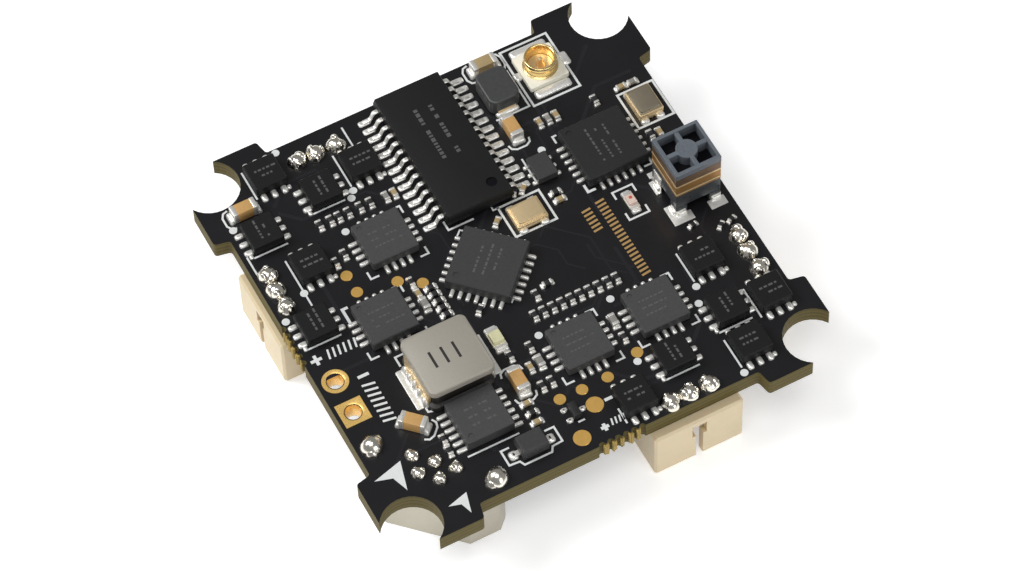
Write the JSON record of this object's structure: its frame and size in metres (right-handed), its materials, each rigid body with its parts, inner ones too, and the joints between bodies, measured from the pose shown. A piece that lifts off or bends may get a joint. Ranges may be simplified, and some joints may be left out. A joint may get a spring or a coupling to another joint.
{
  "type": "flight controller board",
  "caption": "Square flight controller board with open corner notches, motor driver stages, radio with tower antenna, upright data socket, motor connectors and a sprung start button.",
  "frame": {"origin": "under the centre of the square of the four mounting notches, on the surface that the connectors' mouths stand on", "axes": "+Z out of the component side, X and Y along the sides of the mounting square, with the data socket in the -X -Y corner and the tower antenna at the +X side"},
  "size_m": [0.0292, 0.0292, 0.0091],
  "materials": {
    "board_black": "satin black solder mask",
    "chip_black": "fine matte mould compound",
    "cream_nylon": "satin moulded nylon",
    "gold": "satin gold plating",
    "tin": "satin tin plating",
    "ceramic_tan": "satin fired ceramic with tinned ends",
    "coil_grey": "satin pressed iron powder",
    "antenna_grey": "satin ceramic-filled moulding",
    "lens_white": "glossy resin lens",
    "solder": "bright uneven solder",
    "silkscreen": "matte printed ink",
    "glass_fibre": "routed glass fibre edge",
    "copper_band": "satin copper plating"
  },
  "bodies": {
    "board": {"circuit_board": "board_black", "mosfet_1": "chip_black", "mosfet_2": "chip_black", "mosfet_3": "chip_black", "mosfet_4": "chip_black", "mosfet_5": "chip_black", "mosfet_6": "chip_black", "mosfet_7": "chip_black", "mosfet_8": "chip_black", "mosfet_9": "chip_black", "mosfet_10": "chip_black", "mosfet_11": "chip_black", "mosfet_12": "chip_black", "motor_driver_1": "chip_black", "motor_driver_2": "chip_black", "motor_driver_3": "chip_black", "motor_driver_4": "chip_black", "osd_chip": "chip_black", "receiver_processor": "chip_black", "radio_transceiver": "chip_black", "step_down_regulator": "chip_black", "linear_regulator": "chip_black", "surge_diode": "chip_black", "main_processor": "chip_black", "motion_sensor": "chip_black", "filter_inductor": "chip_black", "usb_insulator": "chip_black", "power_inductor": "coil_grey", "capacitor_1": "ceramic_tan", "capacitor_2": "ceramic_tan", "capacitor_3": "ceramic_tan", "capacitor_4": "ceramic_tan", "capacitor_5": "ceramic_tan", "osd_crystal": "gold", "radio_oscillator": "tin", "power_led": "lens_white", "receiver_led": "lens_white", "antenna_tower": "antenna_grey", "antenna_socket_base": "cream_nylon", "antenna_socket_ring": "gold", "antenna_socket_pin": "gold", "motor_connector_1_housing": "cream_nylon", "motor_connector_1_pin_1": "gold", "motor_connector_1_pin_2": "gold", "motor_connector_1_pin_3": "gold", "motor_connector_2_housing": "cream_nylon", "motor_connector_2_pin_1": "gold", "motor_connector_2_pin_2": "gold", "motor_connector_2_pin_3": "gold", "motor_connector_3_housing": "cream_nylon", "motor_connector_3_pin_1": "gold", "motor_connector_3_pin_2": "gold", "motor_connector_3_pin_3": "gold", "motor_connector_4_housing": "cream_nylon", "motor_connector_4_pin_1": "gold", "motor_connector_4_pin_2": "gold", "motor_connector_4_pin_3": "gold", "usb_shell": "tin", "boot_button_body": "tin"},
    "boot_button": {"boot_button_plunger": "chip_black"}
  },
  "joints": [
    {"name": "boot_button_press", "type": "slide", "parent": "board", "child": "boot_button", "axis": [0, 0, 1], "range_m": [0, 0.00025], "stiffness_N_per_m": 4000, "springref_m": -0.00015}
  ]
}
